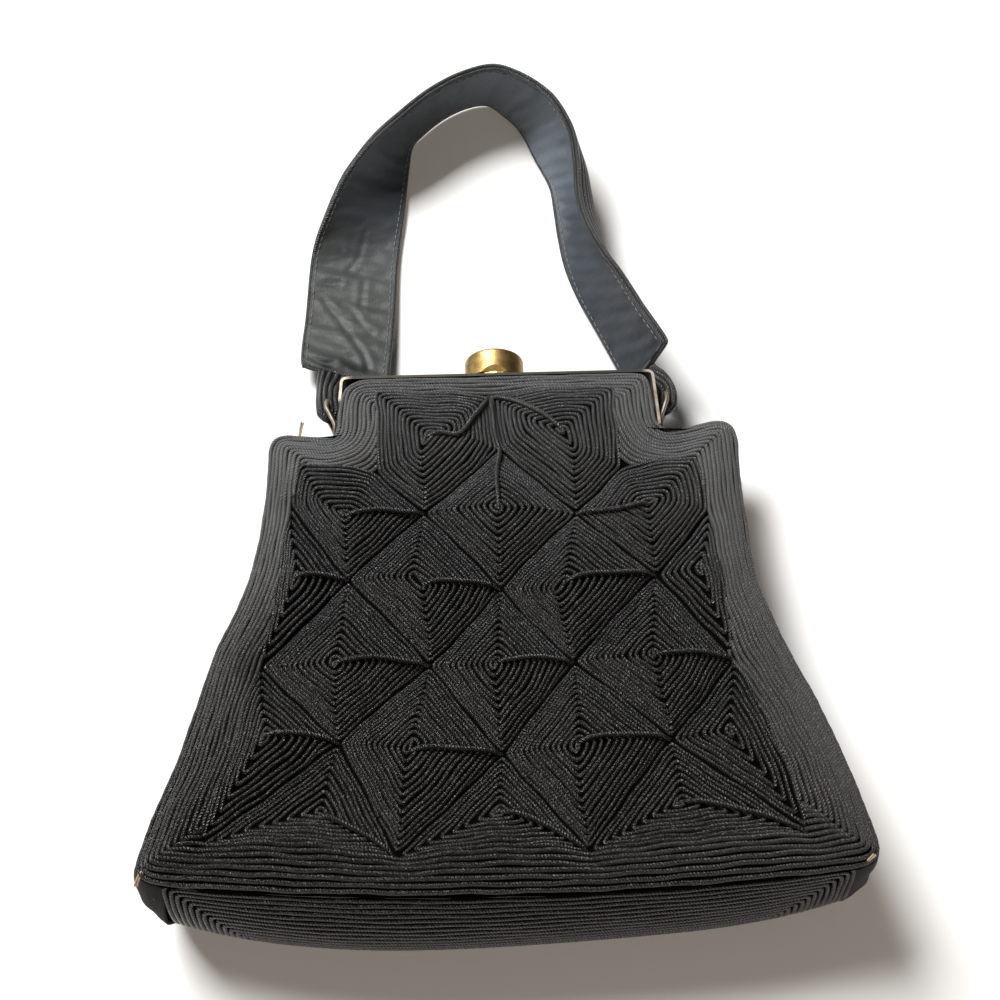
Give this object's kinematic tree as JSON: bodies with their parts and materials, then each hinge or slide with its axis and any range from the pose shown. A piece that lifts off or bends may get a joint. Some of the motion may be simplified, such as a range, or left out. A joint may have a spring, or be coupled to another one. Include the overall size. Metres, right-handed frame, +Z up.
{
  "type": "corded frame handbag",
  "caption": "Black corded frame handbag lying on its back, with padded diamond panels, plain gussets, a metal frame, a drum lift clasp and a wide leather-lined strap.",
  "frame": {"origin": "on the surface that the bag lies on, under the middle of the back panel", "axes": "+Z up from the surface, so the front panel faces up; +Y from the base to the frame; +X to the right of someone who looks down on the front panel from the base's side"},
  "size_m": [0.2688, 0.3901, 0.0636],
  "materials": {
    "black_cord": "twisted gimp cord, worn satin",
    "black_cloth": "matt plain weave",
    "lining_leather": "worn, slightly glossy",
    "clasp_brass": "polished, lightly tarnished",
    "frame_metal": "worn pale gilt"
  },
  "bodies": {
    "bag": {"front_panel": "black_cord", "back_panel": "black_cord", "base_panel": "black_cord", "gusset_left": "black_cloth", "gusset_right": "black_cloth", "frame_front": "frame_metal", "frame_back": "frame_metal", "hinge_pin_left": "frame_metal", "hinge_pin_right": "frame_metal", "ring_left": "clasp_brass", "ring_right": "clasp_brass", "strap_lining": "lining_leather", "strap_face": "black_cord", "strap_tab_left": "black_cord", "strap_tab_right": "black_cord", "clasp_plate": "clasp_brass", "clasp_stud": "clasp_brass", "clasp_pin": "clasp_brass"},
    "cap": {"clasp_cap": "clasp_brass"}
  },
  "joints": [
    {"name": "clasp_lift", "type": "hinge", "parent": "bag", "child": "cap", "pos_m": [0, 0.13725, 0.0086], "axis": [-1, 0, 0], "range_deg": [0, 35]}
  ]
}
